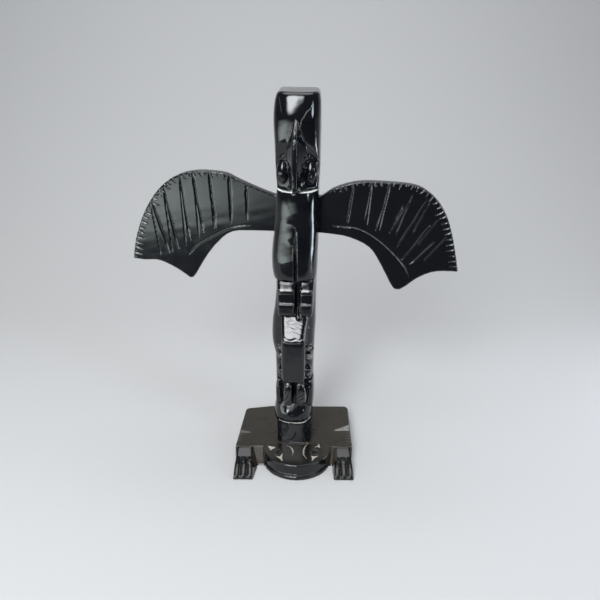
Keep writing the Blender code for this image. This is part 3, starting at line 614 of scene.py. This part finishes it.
def carve_bear(pole):
    """The bear's forehead, snout, cheeks and paws, and the collar and post below."""
    for line, width, deep, lighten in BEAR_CURVES:
        pole.cut(curved(line), width, deep, lighten)
    for across, top, bottom in SNOUT_MARKS:
        pole.cut([(across, top), (across + 0.5, bottom)], 1.5, 0.07)
    # each side gets its share of the painted highlights, less on the shaded left
    for side, light in CHEEK_SIDES_LIT:
        for line, width, deep, lighten in CHEEK_CUTS:
            pole.cut([on_cheek(side, *spot) for spot in line], width, deep, lighten * light)
        middle, radii, high = EYEBALL
        pole.mound(on_cheek(side, *middle), radii, high)
        # painted reflection on the eyeball, weaker on the shaded left
        middle, radii = EYE_SHEEN
        away = pole.flat - on_cheek(side, *middle)
        reach = np.linalg.norm(away / np.asarray(radii), axis=1)
        eye_sheen = (1 - soft_step(reach, 0.75, 1.0)) * soft_step(away[:, 1], *EYE_SHEEN_FLOOR)
        pole.wear_and_highlight = np.maximum(pole.wear_and_highlight, EYE_SHEEN_AMOUNT * light * eye_sheen * pole.share)
    for line, width, amount in BEAR_RUBS:
        pole.lighten(line, width, amount)
    for middle, radii, high in BEAR_MOUNDS:
        pole.mound(middle, radii, high)
    # collar: its uneven upper edge, and a painted highlight along its lip in the bare wood colour
    pole.lighten(curved(COLLAR_TOP), 1.0, 0.25)
    pole.cut(curved(COLLAR_LIP), 2.1, 0.0, bare_wood_and_highlight=0.9, taper=0.3)


def make_pole():
    pole = Carving("pole", 6, blend=70)
    local, facing = to_pole(pole.points), turn_to_pole(pole.normals)
    x, _, level = local.T
    pole.face(local[:, [0, 2]], soft_step(-facing[:, 1], 0.05, 0.35))
    carve_bird(pole, x, level)
    carve_bear(pole)
    pole.ripple(local, POLE_WAVES)
    pole.finish("pole_carving", "pole_lacquer", 0.5, (0.05, 0.16))


def edge_points(line, step):
    """Points at even steps along a line, each with its direction."""
    travelled = 0.0
    for here, there in zip(line, line[1:]):
        here, run = Vector(here), Vector(there) - Vector(here)
        while travelled <= run.length:
            yield here + run.normalized() * travelled, run.normalized()
            travelled += step
        travelled -= run.length


def carve_grooves(wings, side, grooves, rng):
    """Feather grooves: broad and dark on the left wing, finer and a little rubbed on the right."""
    for top, end in grooves:
        a, b = Vector(top), Vector(end)
        run = np.array([a.lerp(b, share) for share in GROOVE_SHARES])
        run = curved(run + rng.normal(0, GROOVE_WANDERS, size=run.shape))
        if side < 0:
            wings.cut(run, 2.0, 1.4)
            wings.cut(run[-4:], 0.9, 0.2, lighten=rng.uniform(0.3, 0.6))
        else:
            wings.cut(run, 1.4, 1.0, lighten=rng.uniform(0.0, 0.12))
            wings.lighten(run[rng.integers(0, 4):-rng.integers(3, 8)], 0.7, rng.uniform(0.0, 0.2), taper=0.4)


def carve_notches(wings, edge, rng):
    """Small notches all along a wing's outer edge, some lightened as painted highlights on their edges."""
    for spot, along in edge_points(edge, NOTCH_STEP):
        inward = (Vector((along.y, -along.x)) + Vector(NOTCH_LEAN)).normalized()
        long = rng.uniform(*NOTCH_LONG) + NOTCH_LONGER * soft_step(spot.x, *NOTCH_TIP)
        start = spot - inward * 1.5 + along * rng.uniform(-2.0, 2.0)
        wings.cut([start, spot + inward * long], 1.4, 1.3, lighten=rng.uniform(0.0, 0.4), taper=0.6)
        wings.lighten([start, spot + inward * long * 0.35], 1.2, rng.uniform(0.0, 0.7), taper=0.5)


def make_wings():
    wings = Carving("wings", 5)
    local, facing = to_pole(wings.points), turn_to_pole(wings.normals)
    middle = (WING_HEIGHT - BASE_THICK - GAP) / MM
    front = soft_step(-facing[:, 1], 0.3, 0.7)
    out_and_up = np.stack((local[:, 0], local[:, 2] - middle), axis=1)
    rng = np.random.default_rng(WING_SEED)
    for side, edge, grooves, quill in (
        (-1, LEFT_EDGE, LEFT_GROOVES, LEFT_QUILL), (1, RIGHT_EDGE, RIGHT_GROOVES, RIGHT_QUILL),
    ):
        wings.face(out_and_up * (side, 1), front)
        carve_grooves(wings, side, grooves, rng)
        wings.cut(curved(quill), 1.0, 0.35, lighten=0.15)
        if side > 0:
            wings.lighten(curved(quill)[2:-7], 0.8, 0.3, taper=0.3)
        carve_notches(wings, edge, rng)
    wings.ripple(local, WING_WAVES)
    wings.finish("wings_carving", "wing_lacquer", 0.22, (0.12, 0.28))


def carve_face(base, top):
    """The base's irises, eye chips, brow arcs and light spots, and the facets of its wrists."""
    for middle, radius in IRISES:
        base.cut(ellipse(middle, (radius, radius)), 1.1, 0.6, lighten=0.08)
        base.mound(middle, (radius * 1.1, radius * 1.1), 0.5)
    for corners in EYE_CHIPS:
        base.chip(corners, 1.0, 0.95)
    for arc in BROW_ARCS:
        base.cut(arc, 1.7, 0.9, bare_wood_and_highlight=0.8, taper=0.35)
    base.lighten(LEFT_SPOT, 2.0, 0.5, taper=0.5)
    base.lighten(POST_FOOT, 1.3, 0.4)
    # nicks of the flanks, lightened as painted highlights
    for side, first, count in FLANK_NICKS:
        for back in (first - NICK_STEP * i for i in range(count)):
            nick = [(side * NICK_ENDS[0], back), (side * NICK_ENDS[1], back - NICK_LEAN)]
            base.cut(nick, 1.6, 2.2, lighten=0.8, taper=0.7)
    base.share = soft_step(base.normals[:, 2], 0.25, 0.5) * (base.points[:, 2] / MM > 4)
    for middle, radii, high in WRIST_MOUNDS:
        base.mound(middle, radii, high)
    base.share = top


def make_base():
    base = Carving("base", 5)
    local = base.points / MM
    x, y, z = local.T
    thick, half_width = BASE_THICK / MM, BASE_WIDTH / 2 / MM
    upward = base.normals[:, 2]
    top = soft_step(upward, 0.5, 0.8) * (z > thick - 2.5)
    base.face(local[:, :2], top)
    carve_face(base, top)
    # painted highlights on the tilted facets of the flank chips, brighter on the right
    tilted = 1 - soft_step(upward, 0.90, 0.99)
    flank = (np.abs(x) > FLANK_INNER) & (np.abs(x) < half_width - 1.0) & (z > FLANK_LOW)
    for side, low, high, amount in FLANK_CHIP_HIGHLIGHTS:
        within = flank & (np.sign(x) == side) & (y > low) & (y < high)
        base.wear_and_highlight = np.maximum(base.wear_and_highlight, within * tilted * amount)
    # knife marks on the webs between the forelegs and the jaw
    web = np.abs(np.abs(x - WEB_MIDDLE) - WEB_OUT) < WEB_HALF
    web &= (y > WEB_BACK[0]) & (y < WEB_BACK[1]) & (z > WEB_LEVELS[0]) & (z < WEB_LEVELS[1])
    wander, slant = WEB_WANDERS
    marks = 0.5 + 0.5 * np.sin(x * (2 * math.pi / WEB_PERIOD) + wander * np.sin(y * slant))
    base.push -= web * marks * 0.35
    base.wear_and_highlight = np.maximum(base.wear_and_highlight, web * soft_step(marks, 0.5, 1.0) * 0.15)
    # dust and a painted brown reflection lie on the flat top, dust also in the webs, less of both on the
    # face's plate
    flat_top = soft_step(upward, 0.93, 0.99) * (z > thick - UNDER_EDGE)
    plate = soft_step(-y, *PLATE_FRONT) * (1 - soft_step(np.abs(x - PLATE_MIDDLE), *PLATE_SIDES))
    base.dust_and_reflection = np.maximum(flat_top * (1 - 0.7 * plate), web * 2.0)
    # streaks along the toes
    toes = (y < TOES_FRONT) & (np.abs(x) > TOES_OUT) & (z > TOES_LEVELS[0]) & (z < TOES_LEVELS[1])
    streaks = 0.5 + 0.5 * np.sin(x * (2 * math.pi / TOES_PERIOD) + TOES_SHIFT)
    base.push -= toes * streaks * 0.10
    base.wear_and_highlight = np.maximum(base.wear_and_highlight, toes * soft_step(streaks, 0.75, 1.0) * 0.08)
    base.spared = 0.5 * toes
    base.ripple(local, BASE_WAVES, z > UNDER_EDGE)
    base.finish("base_carving", "base_lacquer", 0.55, (0.05, 0.16))


class Shading:
    """Short ways to add nodes to the tree of a material, a lamp or the world."""

    def __init__(self, owner):
        owner.use_nodes = True
        self.nodes = owner.node_tree.nodes
        self.links = owner.node_tree.links

    def add(self, kind, **settings):
        node = self.nodes.new(kind)
        for key, value in settings.items():
            setattr(node, key, value)
        return node

    def put(self, socket, value):
        """Links another node's output to a socket, or sets the socket's own value."""
        if isinstance(value, bpy.types.NodeSocket):
            self.links.new(value, socket)
        else:
            socket.default_value = value

    def noise(self, place, scale, detail):
        node = self.add("ShaderNodeTexNoise")
        for key, value in (("Vector", place), ("Scale", scale), ("Detail", detail)):
            self.put(node.inputs[key], value)
        return node.outputs["Fac"]

    def ranged(self, source, span, to_span, kind="LINEAR"):
        node = self.add("ShaderNodeMapRange", interpolation_type=kind)
        self.put(node.inputs["Value"], source)
        for key, value in zip(("From Min", "From Max", "To Min", "To Max"), (*span, *to_span)):
            self.put(node.inputs[key], value)
        return node.outputs["Result"]

    def combined(self, operation, a, b):
        node = self.add("ShaderNodeMath", operation=operation)
        self.put(node.inputs[0], a)
        self.put(node.inputs[1], b)
        return node.outputs["Value"]

    def mixed(self, factor, a, b):
        node = self.add("ShaderNodeMix", data_type="RGBA")
        for key, value in (("Factor", factor), ("A", a), ("B", b)):
            self.put(node.inputs[key], value)
        return node.outputs["Result"]

    def attribute(self, key):
        return self.add("ShaderNodeAttribute", attribute_name=key).outputs["Fac"]


def lacquer_material(name, dark, light, bare_wood_and_highlight, roughness, dust_and_reflection_color):
    """Black lacquer over wood: glossy, thin on edges, with bare wood where it is chipped, and with painted
    highlights and reflections in its colour.
    """
    material = bpy.data.materials.new(name)
    tree = Shading(material)
    shader = tree.nodes["Principled BSDF"]
    shader.inputs["IOR"].default_value = LACQUER_IOR
    place = tree.add("ShaderNodeTexCoord").outputs["Object"]
    middle, patchy = (0.3, 0.7), (0.65, 1.0)

    cloud = tree.noise(place, 38.0, 4.0)
    patches = tree.ranged(tree.noise(place, 170.0, 2.0), middle, patchy)
    # the lightened mask holds wear and painted highlights, the bare wood mask holds chips and painted
    # highlights
    lightened = tree.combined("MULTIPLY", tree.attribute("wear_and_highlight"), patches)
    wood_and_highlight = tree.attribute("bare_wood_and_highlight")
    color = tree.mixed(lightened, dark, light)
    gloss = tree.ranged(cloud, middle, (roughness * 0.8, roughness * 1.35))
    matt = tree.ranged(tree.combined("MAXIMUM", lightened, wood_and_highlight), (0.0, 1.0), (0.0, 0.3))
    rough = tree.combined("ADD", gloss, matt)
    # brown of dust, which also paints the reflection seen on the base's flat top
    if dust_and_reflection_color:
        patches = tree.ranged(tree.noise(place, 55.0, 6.0), middle, patchy)
        veil = tree.combined("MULTIPLY", tree.attribute("dust_and_reflection"), patches)
        color = tree.mixed(veil, color, dust_and_reflection_color)
        rough = tree.combined("ADD", rough, tree.ranged(veil, (0.0, 2.0), (0.0, 0.42)))
        tree.put(shader.inputs["Specular IOR Level"], tree.ranged(veil, (0.0, 2.0), (0.5, 0.15)))
    tree.put(shader.inputs["Base Color"], tree.mixed(wood_and_highlight, color, bare_wood_and_highlight))
    tree.put(shader.inputs["Roughness"], rough)

    bump = tree.add("ShaderNodeBump")
    for key, value in (("Strength", BUMP_STRENGTH), ("Distance", BUMP_DISTANCE), ("Height", cloud)):
        tree.put(bump.inputs[key], value)
    tree.put(shader.inputs["Normal"], bump.outputs["Normal"])
    return material


def floor_material():
    """A pale floor that darkens in front of the picture."""
    material = bpy.data.materials.new("pale_floor")
    tree = Shading(material)
    shader = tree.nodes["Principled BSDF"]
    split = tree.add("ShaderNodeSeparateXYZ")
    tree.put(split.inputs["Vector"], tree.add("ShaderNodeTexCoord").outputs["Object"])
    pale = tree.ranged(split.outputs["Y"], FLOOR_DARKENS, (0.0, 1.0), "SMOOTHSTEP")
    tree.put(shader.inputs["Base Color"], tree.mixed(pale, FLOOR_DARK, FLOOR_PALE))
    shader.inputs["Roughness"].default_value = 0.9
    shader.inputs["Specular IOR Level"].default_value = 0.2
    return material


def make_floor():
    """A floor that sweeps up into the backdrop."""
    profile = [(FLOOR_FRONT, 0.0), (FLOOR_ROUND, 0.0)]
    for i in range(1, ROUND_STEPS + 1):
        angle = math.pi / 2 * i / ROUND_STEPS
        back, up = ROUND_RADIUS * math.sin(angle), ROUND_RADIUS * (1 - math.cos(angle))
        profile.append((FLOOR_ROUND + back, up))
    profile.append((FLOOR_ROUND + ROUND_RADIUS, WALL_HEIGHT))
    verts = [(x, y, z) for x in (-FLOOR_HALF_WIDTH, FLOOR_HALF_WIDTH) for y, z in profile]
    n = len(profile)
    mesh = bpy.data.meshes.new("floor")
    mesh.from_pydata(verts, [], [(i, n + i, n + i + 1, i + 1) for i in range(n - 1)])
    mesh.shade_smooth()
    mesh.materials.append(floor_material())
    floor = bpy.data.objects.new("floor", mesh)
    bpy.context.collection.objects.link(floor)


def make_world():
    world = bpy.data.worlds.new("studio")
    bpy.context.scene.world = world
    background = Shading(world).nodes["Background"]
    background.inputs["Color"].default_value = WORLD_COLOR
    background.inputs["Strength"].default_value = WORLD_STRENGTH
    bpy.context.scene.view_settings.view_transform = "Standard"


def soft_box(name, azimuth, elevation, distance, size, radiance, color, soft):
    """An oval lamp with soft edges that faces the pole."""
    width, height = size
    across, up = math.radians(azimuth), math.radians(elevation)
    toward = Vector((math.sin(across) * math.cos(up), -math.cos(across) * math.cos(up), math.sin(up)))
    data = bpy.data.lights.new(name, "AREA")
    data.shape = "RECTANGLE"
    data.size = width
    data.size_y = height
    data.energy = radiance * math.pi * width * height
    data.color = color
    tree = Shading(data)
    # from the middle of the lamp, 1 at the oval's edge
    away = tree.add("ShaderNodeVectorMath", operation="MULTIPLY_ADD")
    sides = (tree.add("ShaderNodeNewGeometry").outputs["Parametric"], (2, 2, 0), (-1, -1, 0))
    for socket, value in zip(away.inputs, sides):
        tree.put(socket, value)
    reach = tree.add("ShaderNodeVectorMath", operation="LENGTH")
    tree.put(reach.inputs[0], away.outputs["Vector"])
    fade = tree.ranged(reach.outputs["Value"], (1.0, 1 - soft), (0.0, 1.0), "SMOOTHSTEP")
    tree.put(tree.nodes["Emission"].inputs["Strength"], fade)
    lamp = bpy.data.objects.new(name, data)
    bpy.context.collection.objects.link(lamp)
    lamp.location = Vector(LAMP_FOCUS) + toward * distance
    lamp.rotation_euler = (-toward).to_track_quat("-Z", "Y").to_euler()


def make_camera():
    data = bpy.data.cameras.new("camera")
    data.sensor_width = CAMERA_SENSOR
    data.lens = CAMERA_LENS
    data.clip_start = CAMERA_NEAR
    camera = bpy.data.objects.new("camera", data)
    bpy.context.collection.objects.link(camera)
    camera.matrix_world = (
        Matrix.Translation(CAMERA_PLACE)
        @ Matrix.Rotation(math.radians(90) - CAMERA_DOWN, 4, "X")
        @ Matrix.Rotation(CAMERA_ROLL, 4, "Z")
    )
    bpy.context.scene.camera = camera


make_pole()
make_wings()
make_base()
make_floor()
make_world()
for lamp_name, settings in LAMPS.items():
    soft_box(lamp_name, *settings)
make_camera()
